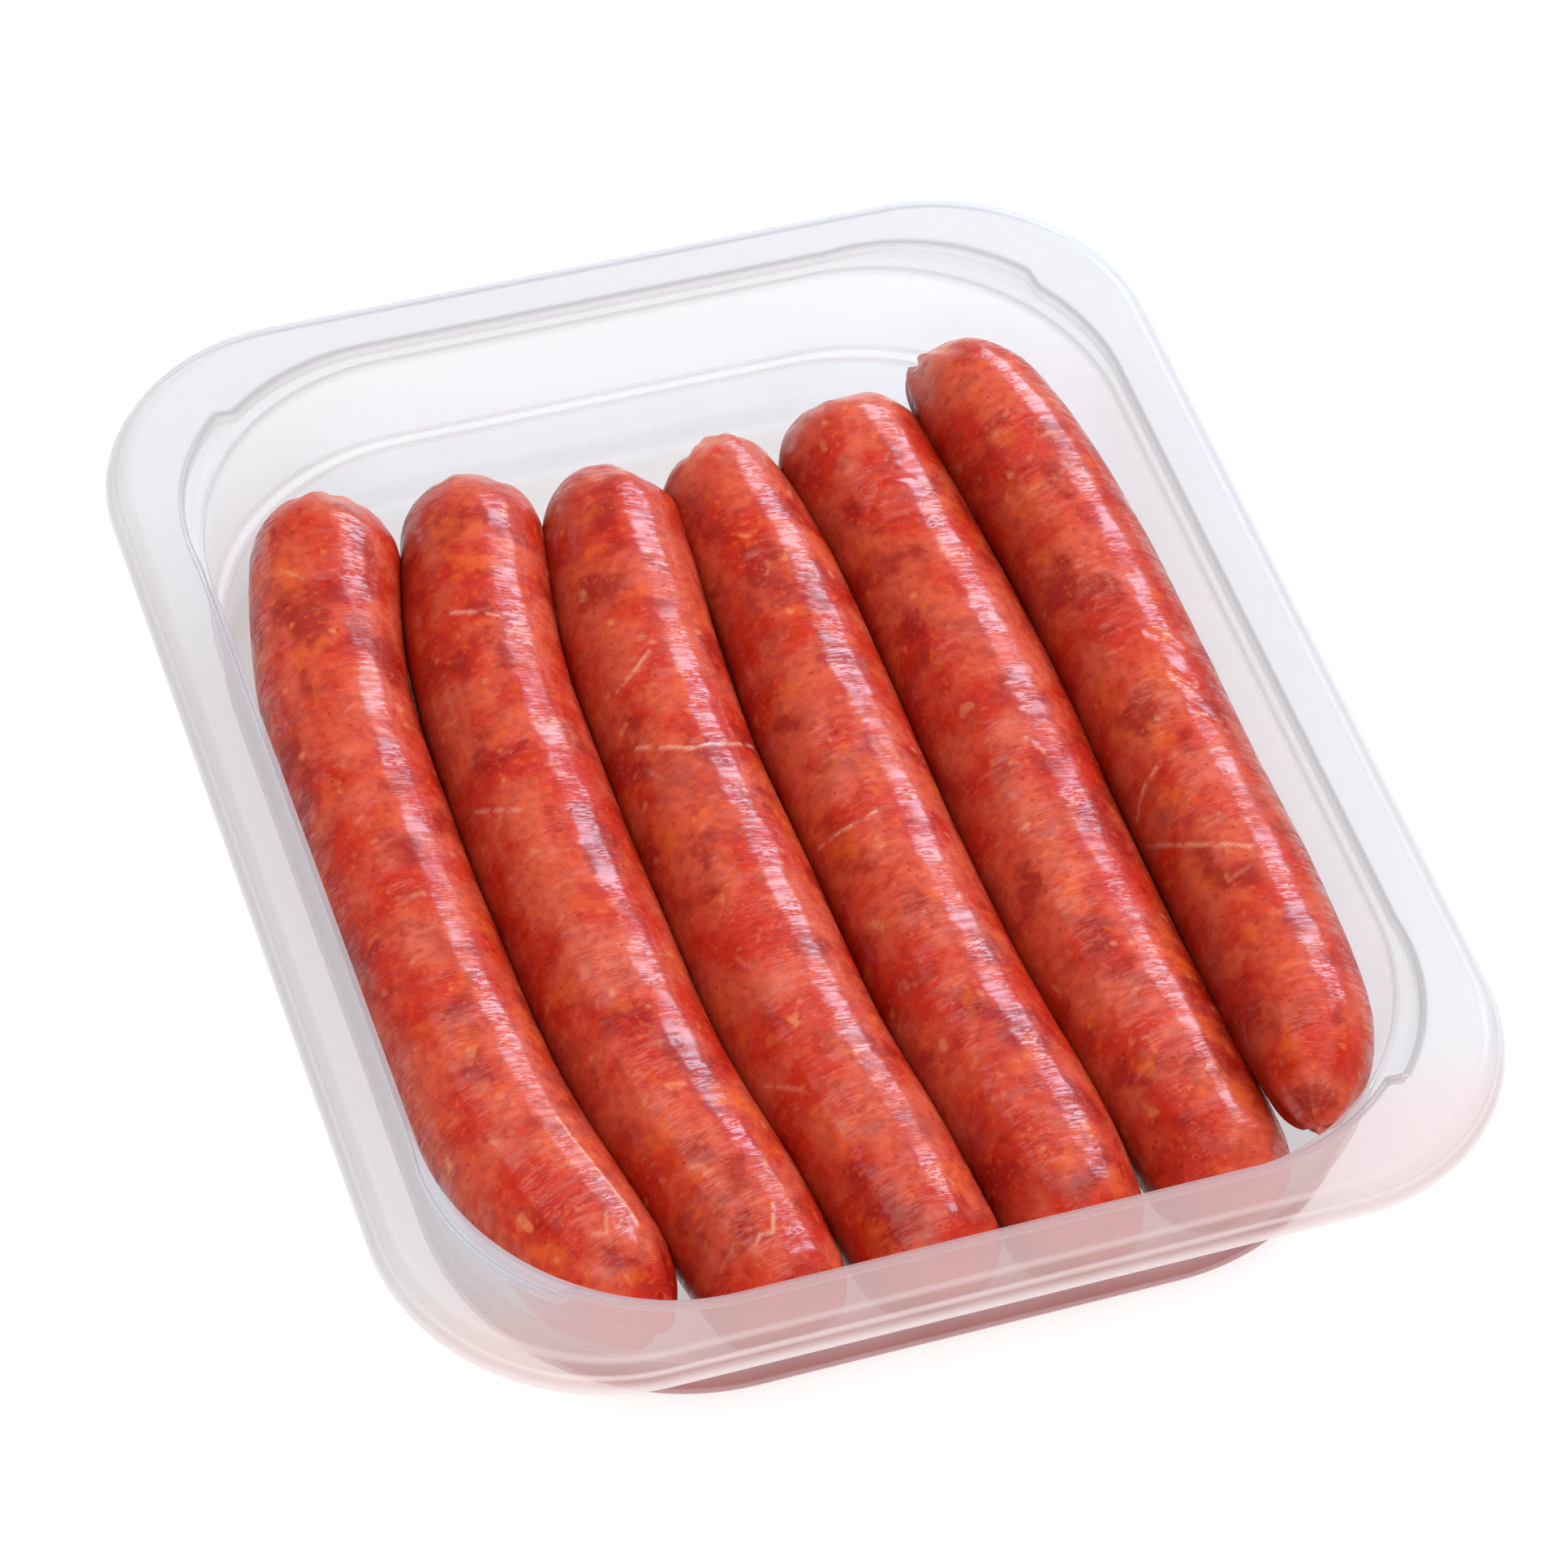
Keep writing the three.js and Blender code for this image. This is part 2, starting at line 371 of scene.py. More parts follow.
class MeatLooks(bpy.types.PropertyGroup):
    lump: FloatProperty(
        name="Lumps", description="Height of the soft lumps under the casing",
        default=0.34 * MM, min=0.0, unit="LENGTH",
    )
    lean: FloatVectorProperty(
        name="Lean meat", description="Colour of most of the mince",
        subtype="COLOR", default=paint(200, 44, 18),
    )
    pale: FloatVectorProperty(
        name="Pale meat", description="Colour of the softer, paler mince",
        subtype="COLOR", default=paint(214, 84, 56),
    )
    dark: FloatVectorProperty(
        name="Dark meat", description="Colour of the dark pieces of mince",
        subtype="COLOR", default=paint(150, 16, 12),
    )
    orange: FloatVectorProperty(
        name="Orange bits", description="Colour of the orange bits of spiced fat",
        subtype="COLOR", default=paint(226, 92, 36),
    )
    purple: FloatVectorProperty(
        name="Purple meat", description="Colour of the greyish purple patches",
        subtype="COLOR", default=paint(156, 56, 50),
    )
    fat: FloatVectorProperty(
        name="Fat", description="Colour of the flecks of fat",
        subtype="COLOR", default=paint(234, 146, 96),
    )
    tip: FloatVectorProperty(
        name="Tips", description="Colour of the bunched casing at the far tips",
        subtype="COLOR", default=paint(236, 156, 136),
    )
    # Painted shade: the dark red painted deep between two pressed sausages.
    crease: FloatVectorProperty(
        name="Creases", description="Colour of the meat deep between two sausages",
        subtype="COLOR", default=paint(118, 8, 5),
    )
    thread: FloatVectorProperty(
        name="Threads", description="Colour of the pale threads in the casing",
        subtype="COLOR", default=paint(236, 170, 140),
    )


class TrayLooks(bpy.types.PropertyGroup):
    sheet: FloatProperty(
        name="Sheet", description="Thickness of the tray's sheet",
        default=SHEET * MM, min=0.2 * MM, max=0.7 * MM, unit="LENGTH",
    )
    tint: FloatVectorProperty(
        name="Tint", description="Colour of the sheet's frost",
        subtype="COLOR", default=paint(232, 229, 230),
    )
    flange: FloatVectorProperty(
        name="Flange", description="Colour of the frost in the thicker flange and lip",
        subtype="COLOR", default=paint(208, 205, 207),
    )
    # Painted light: the pink that the meat throws on the near wall and flange, painted on the sheet by
    # place, so it shows there from every side.
    painted_bounce: FloatVectorProperty(
        name="Blush", description="Colour of the frost where meat lies behind the near wall",
        subtype="COLOR", default=paint(236, 196, 193),
    )
    shade: FloatVectorProperty(
        name="Shaded bends", description="Colour of the bends that look grey",
        subtype="COLOR", default=paint(150, 150, 156),
    )
    juice: FloatVectorProperty(
        name="Meat juice", description="Colour of the film of juice at the near ends",
        subtype="COLOR", default=paint(168, 52, 44),
    )


class StudioLooks(bpy.types.PropertyGroup):
    floor: FloatVectorProperty(
        name="Floor", description="Colour of the floor",
        subtype="COLOR", default=(0.5, 0.5, 0.5),
    )
    glow: FloatProperty(
        name="Floor glow", description="Light that the floor gives off, to hide shadows",
        default=0.68, min=0.0,
    )
    key: FloatProperty(
        name="Key light", description="Power of the softbox at the back right",
        default=15.0, min=0.0, subtype="POWER",
    )
    fill: FloatProperty(
        name="Overhead light", description="Power of the softbox overhead",
        default=26.0, min=0.0, subtype="POWER",
    )
    front: FloatProperty(
        name="Front light", description="Power of the softbox in front",
        default=13.0, min=0.0, subtype="POWER",
    )


class PackLooks(bpy.types.PropertyGroup):
    meat: PointerProperty(name="Meat", description="Raw meat", type=MeatLooks)
    tray: PointerProperty(name="Tray", description="Clear tray", type=TrayLooks)
    studio: PointerProperty(name="Studio", description="Studio", type=StudioLooks)


def unit(vectors):
    """The same directions with a length of one."""
    return vectors / np.linalg.norm(vectors, axis=-1, keepdims=True)


def skin_mesh(name, rings, first, last):
    """A closed skin over a grid of rings (ring, point, xyz): each ring joins the next
    by four-sided faces, and the two end rings close on a middle point each."""
    count, around = rings.shape[:2]
    points = np.concatenate([rings.reshape(-1, 3), [first, last]])
    ring, k = np.meshgrid(np.arange(count - 1), np.arange(around), indexing="ij")
    here, there = ring * around + k, ring * around + (k + 1) % around
    quads = np.stack([here, there, there + around, here + around], -1).reshape(-1, 4)
    k = np.arange(around)
    turned = (k + 1) % around
    base = (count - 1) * around
    near = np.stack([np.full(around, count * around), turned, k], -1)
    far = np.stack([base + k, base + turned, np.full(around, count * around + 1)], -1)
    corners = np.concatenate([quads.ravel(), near.ravel(), far.ravel()])
    sizes = np.concatenate([np.full(len(quads), 4), np.full(2 * around, 3)])
    mesh = bpy.data.meshes.new(name)
    mesh.vertices.add(len(points))
    mesh.vertices.foreach_set("co", points.ravel())
    mesh.loops.add(len(corners))
    mesh.loops.foreach_set("vertex_index", corners)
    mesh.polygons.add(len(sizes))
    mesh.polygons.foreach_set("loop_start", np.cumsum(sizes) - sizes)
    mesh.polygons.foreach_set("use_smooth", np.ones(len(sizes), bool))
    mesh.update(calc_edges=True)
    mesh.validate()
    return mesh


def store(mesh, name, values):
    """Keeps a number at each point of the rings, and none at the two end points."""
    mesh.attributes.new(name, "FLOAT", "POINT")
    mesh.attributes[name].data.foreach_set("value", np.append(values, (0.0, 0.0)))


def add_piece(mesh, material, node):
    """Puts a finished mesh in the scene in place of a solid of the part."""
    mesh.materials.append(material)
    piece = bpy.data.objects.new(mesh.name, mesh)
    bpy.context.scene.collection.objects.link(piece)
    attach(piece, BODY)
    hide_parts(node)
    return piece


def cubic(first, last, slope1, slope2, steps):
    """Cubic stretches between neighbouring values with given slopes at both ends."""
    t = (np.arange(steps) / steps)[None, :, None]
    first, last, slope1, slope2 = (a[:, None] for a in (first, last, slope1, slope2))
    stretch = (
        first + slope1 * t
        + (3 * (last - first) - 2 * slope1 - slope2) * t ** 2
        + (2 * (first - last) + slope1 + slope2) * t ** 3
    )
    return np.concatenate([stretch.reshape(-1, first.shape[-1]), last[-1]])


def centre_line(points, radius, steps=64):
    """Smooth curves through the points and through the radius at each of them.

    The slopes at a point come from its neighbours, for the places weighted by the
    square root of their distance. Gives dense points, the radius there and the length
    run so far."""
    p = np.concatenate([[2 * points[0] - points[1]], points, [2 * points[-1] - points[-2]]])
    gap = np.sqrt(np.linalg.norm(np.diff(p, axis=0), axis=1))[:, None]
    p0, p1, p2, p3 = p[:-3], p[1:-2], p[2:-1], p[3:]
    g0, g1, g2 = gap[:-2], gap[1:-1], gap[2:]
    slope1 = g1 * ((p1 - p0) / g0 - (p2 - p0) / (g0 + g1) + (p2 - p1) / g1)
    slope2 = g1 * ((p2 - p1) / g1 - (p3 - p1) / (g1 + g2) + (p3 - p2) / g2)
    curve = cubic(p1, p2, slope1, slope2, steps)
    r = np.array([radius[0], radius[0], *radius, radius[-1], radius[-1]])[:, None]
    slope = (r[2:] - r[:-2]) / 2
    girth = cubic(r[1:-2], r[2:-1], slope[:-1], slope[1:], steps)[:, 0]
    run = np.concatenate([[0], np.cumsum(np.linalg.norm(np.diff(curve, axis=0), axis=1))])
    return curve, girth, run


def end_share(distance, end):
    """Share of the full radius at a distance from one end: a rounded cap of the end's
    own bluntness on a body that thins a little toward it."""
    in_cap = np.clip(1 - distance / end["cap"], 0, 1)
    nearness = np.clip(1 - distance / TAPER_LENGTH, 0, 1)
    rounded = (1 - in_cap ** end["power"]) ** (1 / end["power"])
    return rounded * (1 - end["taper"] * nearness ** 2)


def soft_noise(place, seed):
    """Smooth noise from 0 to 1: seeded numbers on a cubic lattice one unit apart,
    blended between the eight around each point with a smooth step."""
    side = 32
    table = np.random.default_rng(seed).random((side, side, side))
    cell = np.floor(place).astype(int)
    part = place - cell
    part = part * part * (3 - 2 * part)
    total = 0.0
    for corner in np.ndindex(2, 2, 2):
        at = (cell + corner) % side
        weight = np.where(corner, part, 1 - part).prod(-1)
        total = total + weight * table[at[..., 0], at[..., 1], at[..., 2]]
    return total


def sausage_rows(sizes, share_kept):
    """Rows along a sausage: the distance of each from the far tip, its centre,
    direction and radius, then the whole length and the two tips.

    The rows lie even, crowded a little toward both ends as a cosine is. The radius is
    the girth there times the smaller of the two ends' shares."""
    far, near = sizes["far"], sizes["near"]
    height = SHEET + REST_GAP + np.array(sizes["radius"]) + np.array(sizes["lift"])
    points = np.array([
        (far["x"], far["y"], height[0]),
        *zip(sizes["x"], STATIONS_Y, height),
        (near["x"], near["y"], height[-1]),
    ])
    curve, girth, run = centre_line(points, sizes["radius"])
    length = run[-1]
    even = np.linspace(0, 1, int(ROWS * share_kept) + 2)[1:-1]
    crowded = 0.5 - 0.5 * np.cos(np.pi * even)
    distance = length * ((1 - CROWDING) * even + CROWDING * crowded)
    centre = np.stack([np.interp(distance, run, curve[:, k]) for k in range(3)], -1)
    along = unit(np.gradient(centre, distance, axis=0))
    share = np.minimum(end_share(distance, far), end_share(length - distance, near))
    radius = share * np.interp(distance, run, girth)
    return distance, centre, along, radius, length, points[[0, -1]]


def sausage_surface(sizes, looks, index):
    """The skin of one sausage, with values for its material at every point.

    Angle and distance run over a grid. The point is the centre at that distance plus
    the radius, across for the cosine of the angle and up for its sine, moved along the
    skin's normal by the relief. The relief fades where the sides press on something
    and bulges there, and knobs and puckers are added toward the tips. The values are
    the same points with the sausage's bends taken out, and the shares of pale thread,
    painted crease shade and tip."""
    share_kept = 1.0
    rows, centre, along, radius, length, tips = sausage_rows(sizes, share_kept)
    around = int(ROUND * share_kept)
    turns = 2 * np.pi * np.arange(around) / around
    distance, angle = np.broadcast_arrays(rows[:, None], turns)
    cosine, sine = np.cos(angle), np.sin(angle)
    across = unit(np.cross(UP, along))
    radial = across[:, None] * cosine[..., None] + UP * sine[..., None]
    slope = np.gradient(radius, rows)[:, None, None]
    normal = unit(radial - slope * along[:, None])
    radius = radius[:, None]
    straight = [radius * cosine, radius * sine, distance + SPACING * index]
    straight = np.stack(straight, -1)
    lines = THREADS[index] + stray_threads(length, index)
    thread = marks(distance, angle, lines, THREAD_WIDTH)
    fold = marks(distance, angle, FOLDS[index], FOLD_WIDTH)
    relief = sausage_relief(straight, looks, index)
    relief = relief + THREAD_HEIGHT * thread - FOLD_DEPTH * fold
    sideways = cosine ** 4
    right, left = sizes["press"]
    pressed = np.where(cosine > 0, right, left) * sideways
    relief = relief * (1 - SIDE_SMOOTHING * sideways) - SINK * (1 - sideways) + pressed
    tip = np.exp(-(distance / KNOB_REACH) ** 2)
    knobs = soft_noise(straight / KNOB_SIZE, 50 + index) - KNOB_LEVEL
    nearest = np.minimum(distance, length - distance)
    circle = PUCKER_CLOSENESS * cosine, PUCKER_CLOSENESS * sine
    folded = np.stack([*circle, nearest / PUCKER_LENGTH], -1) + 7.0 + 3.0 * index
    pucker = soft_noise(folded, 60 + index) - 0.5
    fading = np.exp(-(nearest / PUCKER_REACH) ** 2)
    relief = relief + tip * sizes["knobs"] * knobs + PUCKER_HEIGHT * fading * pucker
    rings = centre[:, None] + radius[..., None] * radial + normal * relief[..., None]
    shares = {"thread": thread, "crease": crease(cosine, sine, right, left), "tip": tip}
    return rings * MM, tips * MM, straight * MM, shares


def crease(cosine, sine, right, left):
    """How much painted shade a point gets, lying in the dark between two sausages: none on top and
    more down each side, further up on the left, away from the key light, and only where something
    presses there."""
    touching = 0.2
    down_right = 0.6 * np.clip(1 - sine / 0.35, 0, 1) * (right > touching)
    down_left = np.clip(1.08 - sine / 0.9, 0, 1) * (left > touching)
    return np.where(cosine > 0, down_right, down_left)


def stray_threads(length, index):
    """Short bent threads of three steps at seeded places over the top of a sausage."""
    random = np.random.default_rng(70 + index)
    lines = []
    for _ in range(STRAYS):
        first = random.uniform(STRAY_ENDS[0], length - STRAY_ENDS[1])
        start = np.array([first, random.uniform(*STRAY_ROUND)])
        heading, bend = random.normal(0, STRAY_HEADING), random.normal(0, STRAY_BEND)
        turn = heading + bend * np.arange(3)
        steps = np.stack([np.sin(turn), np.cos(turn) / SKIN_DEGREE], -1)
        places = start + np.cumsum(random.uniform(*STRAY_STEP) * steps, axis=0)
        lines.append((random.uniform(*STRAY_STRENGTH), *places))
    return tuple(lines)


def marks(distance, angle, lines, width):
    """How much of some lines lies at each point of the unrolled skin, from 0 to 1.

    Each line joins places (distance from the far tip, degrees round from the side
    toward +x, up over the top). A point's share falls off as a bell curve of its
    distance to the nearest stretch, with the line's own strength."""
    place = np.stack([distance, angle * SKIN_REACH], -1)
    total = np.zeros(place.shape[:2])
    for strength, *corners in lines:
        corners = np.array(corners, dtype=float)
        corners[:, 1] = np.radians(corners[:, 1]) * SKIN_REACH
        for start, end in zip(corners[:-1], corners[1:]):
            run = end - start
            t = np.clip(((place - start) @ run) / (run @ run), 0, 1)
            gap = np.linalg.norm(place - start - t[..., None] * run, axis=-1)
            total = np.maximum(total, strength * np.exp(-(gap / width) ** 2))
    return total


def sausage_relief(straight, looks, index):
    """Height of the skin in millimetres: wide lumps of filling, smaller knobs of mince,
    and wrinkles that run round the sausage, each from soft noise at its own size."""
    wide = soft_noise(straight / 12.0, 10 + index) - 0.5
    small = soft_noise(straight / 4.6, 20 + index) - 0.5
    knobs = soft_noise(straight / 2.1, 30 + index) - 0.5
    creased = soft_noise(straight / np.array([6.0, 6.0, 1.15]), 40 + index)
    wrinkle = -np.clip(1 - np.abs(creased - 0.5) * 7, 0, 1)
    return looks.lump / MM * (1.3 * wide + 0.6 * small + 0.22 * knobs + 0.14 * wrinkle)


def meat_material(looks):
    """Coarse mince seen through a thin wet casing: soft zones of lean, pale and dark
    meat, bits of fat, dark dots and pale threads, under a gloss broken by cracks that
    run round the sausage."""
    finish = Finish("raw_meat")
    place = finish.node("ShaderNodeAttribute", {"attribute_name": "straight"})
    place = place.outputs["Vector"]

    def there(offset, scale, detail=2.0):
        return finish.noise(finish.moved(place, offset), scale, detail)

    def over(colour, share, name):
        return finish.mix(share, colour, tuple(getattr(looks, name)))

    def rings(scale, detail, roughness, flatness):
        """Noise drawn out round the sausage."""
        drawn_out = finish.stretched(place, (flatness, flatness, 1.0))
        return finish.noise(drawn_out, scale, detail, roughness)

    colour = tuple(looks.lean)
    for layer in MINCE:
        share = there(layer["offset"], layer["scale"], layer["fine"])
        share = share.between(*layer["rise"]) * layer["share"]
        colour = over(colour, share, layer["colour"])
    cells = finish.node("ShaderNodeTexVoronoi", None, Vector=place, Scale=330.0)
    dots = Value(finish, cells.outputs["Distance"]).between(0.13, 0.06)
    colour = over(colour, dots * 0.6, "dark")
    thread = finish.stored("thread") * there((0.4, 0.4, 0.4), 500.0, 1.0).between(0.28, 0.5)
    colour = over(colour, thread * 0.72, "thread")
    tip, bits = finish.stored("tip"), there((0.1, 0.3, 0.7), 200.0)
    colour = over(colour, tip * bits.between(0.28, 0.54) * 0.85, "tip")
    colour = over(colour, tip * bits.between(0.58, 0.64) * 0.9, "orange")
    # Painted shade deep between pressed sausages, further up their left sides.
    colour = over(colour, finish.stored("crease") * 0.8, "crease")
    folds = rings(1900.0, 2.0, 0.6, 0.16)
    ridges = 1 - abs(folds - 0.5).between(0.01, 0.1)
    cracks = ridges * there((0.6, 0.8, 0.1), 230.0, 1.0).between(0.32, 0.54)
    streaks = rings(1000.0, 1.0, 0.5, 0.12).between(0.36, 0.56)
    breaks = there((0.9, 0.1, 0.5), 90.0, 1.0).between(0.36, 0.5)
    wet = (streaks * 0.62 + 0.38) * (breaks * 0.55 + 0.45)
    lumps = finish.noise(place, 380.0, 2.0, 0.65)
    height = folds * 0.3 - ridges * 0.35 + lumps * 1.3
    bump = finish.node(
        "ShaderNodeBump", None, Strength=0.6, Distance=0.2 * MM, Height=height
    )
    shader = finish.node(
        "ShaderNodeBsdfPrincipled", None, Base_Color=colour, Roughness=0.4,
        Specular_IOR_Level=0.12, Normal=bump.outputs[0],
        Coat_Weight=(1.0 - cracks) * wet, Coat_Roughness=0.17,
    )
    return finish.close(shader)


def tray_line(sheet):
    """The sheet's middle line from the floor to the lip, as offset out from the mouth,
    height, corner radius and how much the bend there shines: straight runs, with each
    bend a rounded quadratic arc that shines most in its middle.

    Each station has its place, how far its bend reaches along the runs beside it, and
    its shine: above 0 a painted white highlight and below 0 a painted grey shade."""
    top = TRAY_HEIGHT - sheet / 2
    stations = (
        ((-13.9, sheet / 2, 30.5), 0.0, 0.0),
        ((-3.9, sheet / 2, 40.5), 5.0, 0.45),
        ((-3.7, 12.8, 40.5), 0.6, 0.8),
        ((-2.4, 14.0, 40.0), 0.6, 0.8),
        ((-1.2, LEDGE_HEIGHT, 39.5), 0.4, -0.6),
        ((0.0, LEDGE_HEIGHT + 0.7, MOUTH_CORNER), 0.3, 0.8),
        ((0.1, top, MOUTH_CORNER), 0.9, -0.8),
        ((FLANGE_FLAT, top, 32.0), 1.0, 0.5),
        ((9.15, top - 1.56, 33.6), 0.6, 0.7),
        ((10.45, top - 3.9, 35.0), 0.0, 1.0),
    )
    at = np.array([(*place, 0.0) for place, _, _ in stations])
    at[-1, 3] = stations[-1][2]
    t = np.linspace(0, 1, BEND_POINTS)[:, None]
    line = [at[:1]]
    for k in range(1, len(stations) - 1):
        reach = stations[k][1]
        before, after = at[k - 1] - at[k], at[k + 1] - at[k]
        before, after = (
            at[k] + run * reach / np.linalg.norm(run[:3]) for run in (before, after)
        )
        bend = (1 - t) ** 2 * before + 2 * t * (1 - t) * at[k] + t ** 2 * after
        bend[:, 3] = stations[k][2] * 4 * (t * (1 - t))[:, 0]
        line.append(bend)
    return np.concatenate([*line, at[-1:]])


def tray_faces(line, sheet):
    """The sheet's outside and inside as one line: the middle line moved out by half
    the sheet, a half round at the lip, and the middle line moved in, run backwards."""
    line = line.copy()
    run = np.gradient(line[:, :2], axis=0)
    run /= np.linalg.norm(run, axis=1, keepdims=True)
    line[-1, :2] -= run[-1] * sheet / 2
    none = np.zeros(len(run))
    out = np.stack([run[:, 1], -run[:, 0], run[:, 1], none], -1) * sheet / 2
    turn = np.linspace(0, np.pi, LIP_POINTS + 2)[1:-1, None]
    ahead = np.array([run[-1, 0], run[-1, 1], 0.0, 0.0]) * sheet / 2
    lip = line[-1] + out[-1] * np.cos(turn) + ahead * np.sin(turn)
    return np.concatenate([line + out, lip, (line - out)[::-1]])


def tray_rings(faces):
    """Rounded rectangles round the tray, one for each point of the sheet's section:
    four corner arcs of the section's radius there, joined by straight runs. Between
    the lugs' angles the arc near the mouth is pushed out toward a tighter corner."""
    offset, height, corner = (faces[:, k, None, None] for k in range(3))
    degrees = np.arange(4)[:, None] * 90 + np.linspace(0, 90, ARC_POINTS)[None, :]
    signed = np.where(degrees > 270, degrees - 360, degrees)
    inside = 0.0
    for side, end in LUGS:
        turned = signed if side == 0 else degrees
        low, high = min(side, end), max(side, end)
        edge_low = (turned - low) / LUG_END_STEP + (1.0 if side == low else 0.0)
        edge_high = (high - turned) / LUG_END_STEP + (1.0 if side == high else 0.0)
        inside = np.maximum(inside, np.clip(np.minimum(edge_low, edge_high), 0, 1))
    angle = np.radians(degrees)
    bulge = np.abs(np.cos(angle)) + np.abs(np.sin(angle)) - 1
    near_mouth = (height > LEDGE_HEIGHT + 0.4) & (offset < FLANGE_FLAT / 2)
    reach = corner + near_mouth * inside * bulge * (MOUTH_CORNER - LUG_CORNER)
    sign = np.array([[1, 1], [-1, 1], [-1, -1], [1, -1]])
    x = sign[:, 0, None] * (MOUTH[0] / 2 + offset - corner) + reach * np.cos(angle)
    y = sign[:, 1, None] * (MOUTH[1] / 2 + offset - corner) + reach * np.sin(angle)
    arcs = np.stack(np.broadcast_arrays(x, y, height), -1)
    t = np.linspace(0, 1, RUN_POINTS + 2)[1:-1, None]
    end, start = arcs[:, :, -1, None], np.roll(arcs, -1, axis=1)[:, :, 0, None]
    runs = end + (start - end) * t
    return np.concatenate([arcs, runs], axis=2).reshape(len(faces), -1, 3)


def tray_material(looks):
    """Clear sheet with a frost that scatters light from both sides: more to see where
    it turns away, white where a bend gathers light and grey where one hides it, with
    soft waves in its reflections, a painted pink of the meat's light by the near wall,
    and a film of meat juice at the near ends."""
    finish = Finish("clear_sheet")
    place = finish.node("ShaderNodeTexCoord").outputs["Object"]
    parts = finish.node("ShaderNodeSeparateXYZ", None, place)
    height, depth = (Value(finish, parts.outputs[axis]) for axis in ("Z", "Y"))
    near, thick = depth.between(*NEAR_DEPTH), height.between(*FLANGE_HEIGHT)
    juice = height.between(*JUICE_HEIGHT) * depth.between(*JUICE_DEPTH)
    shine = finish.stored("shine")
    bright, shaded = shine.between(0.0, 1.0), (shine * -1.0).between(0.0, 1.0)
    waves = finish.noise(place, 38.0, 1.0, 0.4)
    bump = finish.node(
        "ShaderNodeBump", None, Strength=0.2, Distance=0.6 * MM, Height=waves
    )
    facing = finish.node("ShaderNodeLayerWeight", None, Blend=0.3)
    turned = Value(finish, facing.outputs["Facing"])
    colour = finish.mix(thick, tuple(looks.tint), tuple(looks.flange))
    # Painted pink of the meat's light on the sheet by the near wall, in its colour.
    colour = finish.mix(near * PAINTED_BOUNCE_SHARE, colour, tuple(looks.painted_bounce))
    colour = finish.mix(shaded, colour, tuple(looks.shade))
    colour = finish.mix(bright, colour, HIGHLIGHT)
    colour = finish.mix(juice * JUICE_SHARE, colour, tuple(looks.juice))
    gloss = finish.node(
        "ShaderNodeBsdfPrincipled", None, Base_Color=colour, Roughness=0.12,
        Specular_IOR_Level=0.35, Normal=bump.outputs[0],
    )
    glow = finish.plain("ShaderNodeBsdfTranslucent", looks.tint)
    # The same painted pink in the light that passes through the sheet.
    painted_bounce_glow = finish.plain("ShaderNodeBsdfTranslucent", looks.painted_bounce)
    glow = finish.blend(near * PAINTED_BOUNCE_SHARE, glow, painted_bounce_glow)
    frost = finish.blend(FROST_TRANSLUCENT, gloss, glow)
    clear = finish.plain("ShaderNodeBsdfTransparent", WALL_CLEARNESS)
    dimmed = finish.plain("ShaderNodeBsdfTransparent", FLANGE_CLEARNESS)
    seen = turned * FROST_TURNED + thick * FROST_FLANGE + FROST + bright * FROST_BRIGHT
    seen = seen + shaded * FROST_SHADED + juice * FROST_JUICE
    return finish.close(finish.blend(seen, finish.blend(thick, clear, dimmed), frost))


class SAUSAGE_OT_links(bpy.types.Operator):
    """Makes the six raw sausages"""

    bl_idname = "sausage_tray.make_sausages"
    bl_label = "Make the sausages"

    def execute(self, context):
        looks = context.scene.sausage_tray.meat
        material = meat_material(looks)
        for index, sizes in enumerate(SAUSAGES):
            rings, tips, straight, shares = sausage_surface(sizes, looks, index)
            mesh = skin_mesh(sizes["name"] + "_skin", rings, *tips)
            ends = straight[[0, -1]].mean(axis=1)
            values = np.concatenate([straight.reshape(-1, 3), ends]).ravel()
            mesh.attributes.new("straight", "FLOAT_VECTOR", "POINT")
            mesh.attributes["straight"].data.foreach_set("vector", values)
            for name, values in shares.items():
                store(mesh, name, values)
            add_piece(mesh, material, sizes["name"])
        return {"FINISHED"}


class SAUSAGE_OT_tray(bpy.types.Operator):
    """Makes the clear tray"""

    bl_idname = "sausage_tray.make_tray"
    bl_label = "Make the tray"

    def execute(self, context):
        looks = context.scene.sausage_tray.tray
        sheet = looks.sheet / MM
        faces = tray_faces(tray_line(sheet), sheet)
        rings = tray_rings(faces) * MM
        middle = np.zeros(3)
        mesh = skin_mesh("tray_sheet", rings, middle, middle + UP * looks.sheet)
        store(mesh, "shine", np.repeat(faces[:, 3], rings.shape[1]))
        add_piece(mesh, tray_material(looks), "tray")
        return {"FINISHED"}


def softbox(name, power, place, aim, width, length, colour):
    """A rectangular light at a place, turned to a point, its length as near to the
    direction of the sausages as that allows."""
    light = bpy.data.lights.new(name, "AREA")
    light.shape, light.size, light.size_y = "RECTANGLE", width, length
    light.energy, light.color = power, colour
    back = (Vector(place) - Vector(aim)).normalized()
    side = Vector((0, 1, 0)).cross(back).normalized()
    turn = Matrix((side, back.cross(side), back)).transposed()
    lamp = bpy.data.objects.new(name, light)
    lamp.matrix_world = Matrix.Translation(place) @ turn.to_4x4()
    bpy.context.scene.collection.objects.link(lamp)


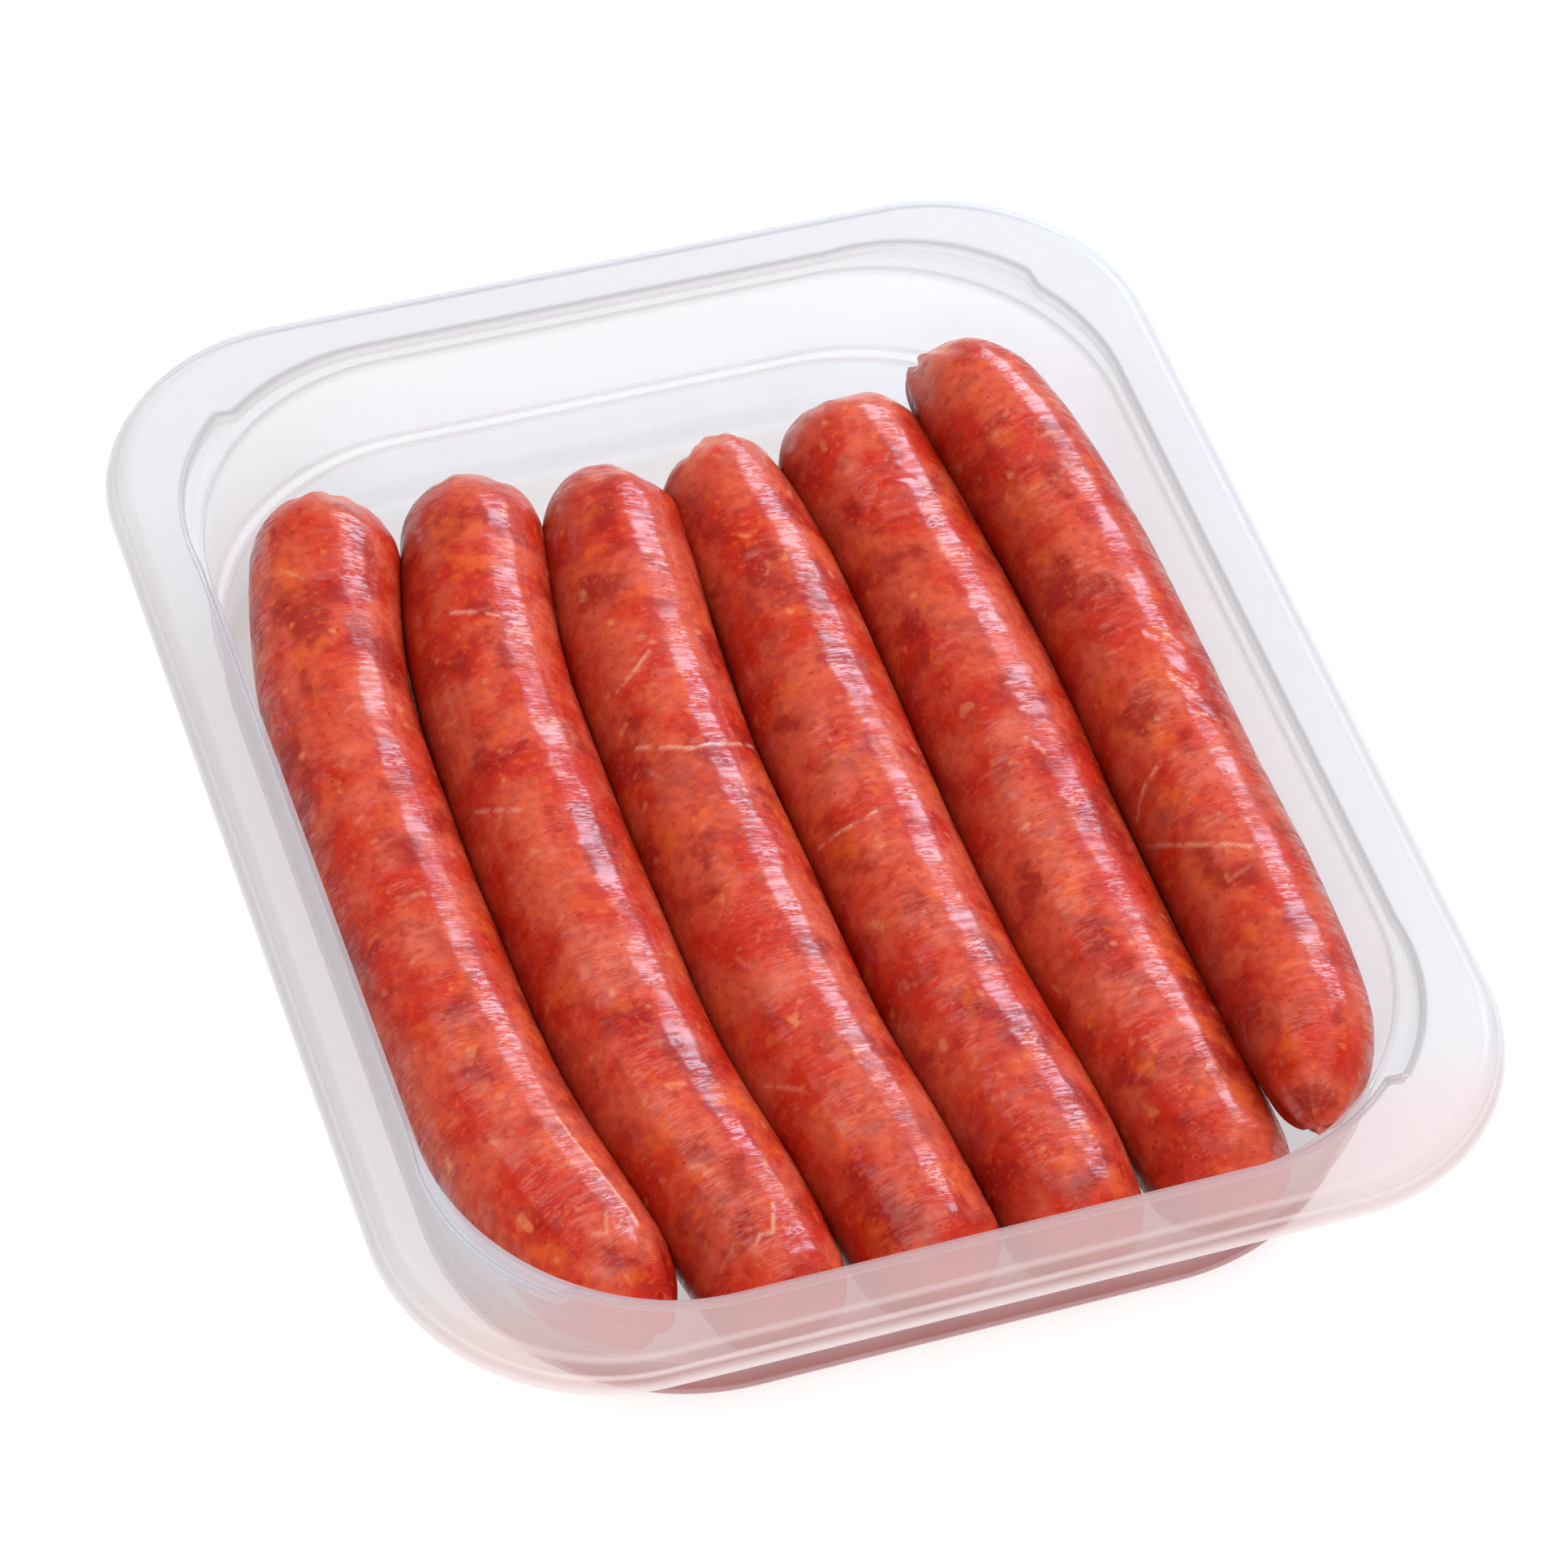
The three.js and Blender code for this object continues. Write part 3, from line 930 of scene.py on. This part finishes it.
class SAUSAGE_OT_studio(bpy.types.Operator):
    """Makes the floor, the lights and the camera"""

    bl_idname = "sausage_tray.make_studio"
    bl_label = "Make the studio"

    def execute(self, context):
        scene, looks = context.scene, context.scene.sausage_tray.studio
        self.floor(scene, looks)
        for box in SOFTBOXES:
            softbox(**{**box, "power": getattr(looks, box["power"])})
        scene.world = bpy.data.worlds.new("studio")
        scene.world.use_nodes = True
        sky = scene.world.node_tree.nodes["Background"]
        sky.inputs["Color"].default_value = (1.0, 1.0, 1.0, 1.0)
        sky.inputs["Strength"].default_value = SKY_STRENGTH
        scene.view_settings.view_transform = "Standard"
        scene.cycles.diffuse_bounces, scene.cycles.glossy_bounces = 2, 2
        scene.cycles.max_bounces = 4
        self.camera(scene)
        return {"FINISHED"}

    def floor(self, scene, looks):
        """A pale square that glows, a hair below the tray so that they don't coincide."""
        sign = ((-1, -1), (1, -1), (1, 1), (-1, 1))
        corners = [(x * FLOOR_HALF, y * FLOOR_HALF, -FLOOR_DROP) for x, y in sign]
        mesh = bpy.data.meshes.new("floor")
        mesh.from_pydata(corners, [], [(0, 1, 2, 3)])
        finish = Finish("floor")
        shader = finish.node(
            "ShaderNodeBsdfPrincipled", None, Base_Color=(*looks.floor, 1.0),
            Roughness=0.8, Emission_Color=(1.0, 1.0, 1.0, 1.0), Emission_Strength=looks.glow,
        )
        mesh.materials.append(finish.close(shader))
        floor = bpy.data.objects.new("floor", mesh)
        scene.collection.objects.link(floor)

    def camera(self, scene):
        """The photograph's viewing angle: place, the point looked at, and the roll."""
        data = bpy.data.cameras.new("camera")
        data.sensor_width, data.lens = CAMERA_SENSOR, CAMERA_LENS
        data.clip_start, data.clip_end = 0.05, 20.0
        camera = bpy.data.objects.new("camera", data)
        place, aim = Vector(CAMERA_PLACE), Vector(CAMERA_AIM)
        turn = (aim - place).to_track_quat("-Z", "Y").to_matrix()
        roll = Matrix.Rotation(math.radians(CAMERA_ROLL), 3, "Z")
        camera.matrix_world = Matrix.Translation(place) @ (turn @ roll).to_4x4()
        scene.collection.objects.link(camera)
        scene.camera = camera


class SAUSAGE_PT_panel(bpy.types.Panel):
    bl_idname = "SAUSAGE_PT_panel"
    bl_label = "Tray of raw sausages"
    bl_space_type = "VIEW_3D"
    bl_region_type = "UI"
    bl_category = "Sausages"

    def draw(self, context):
        looks = context.scene.sausage_tray
        for part, maker in (
            (looks.meat, SAUSAGE_OT_links),
            (looks.tray, SAUSAGE_OT_tray),
            (looks.studio, SAUSAGE_OT_studio),
        ):
            box = self.layout.box()
            for name in part.__annotations__:
                box.prop(part, name)
            box.operator(maker.bl_idname)


CLASSES = (
    MeatLooks, TrayLooks, StudioLooks, PackLooks,
    SAUSAGE_OT_links, SAUSAGE_OT_tray, SAUSAGE_OT_studio, SAUSAGE_PT_panel,
)


def register():
    for kind in CLASSES:
        bpy.utils.register_class(kind)
    bpy.types.Scene.sausage_tray = PointerProperty(type=PackLooks)


def unregister():
    del bpy.types.Scene.sausage_tray
    for kind in reversed(CLASSES):
        bpy.utils.unregister_class(kind)


def main():
    register()
    bpy.ops.sausage_tray.make_sausages()
    bpy.ops.sausage_tray.make_tray()
    bpy.ops.sausage_tray.make_studio()


if __name__ == "__main__":
    main()
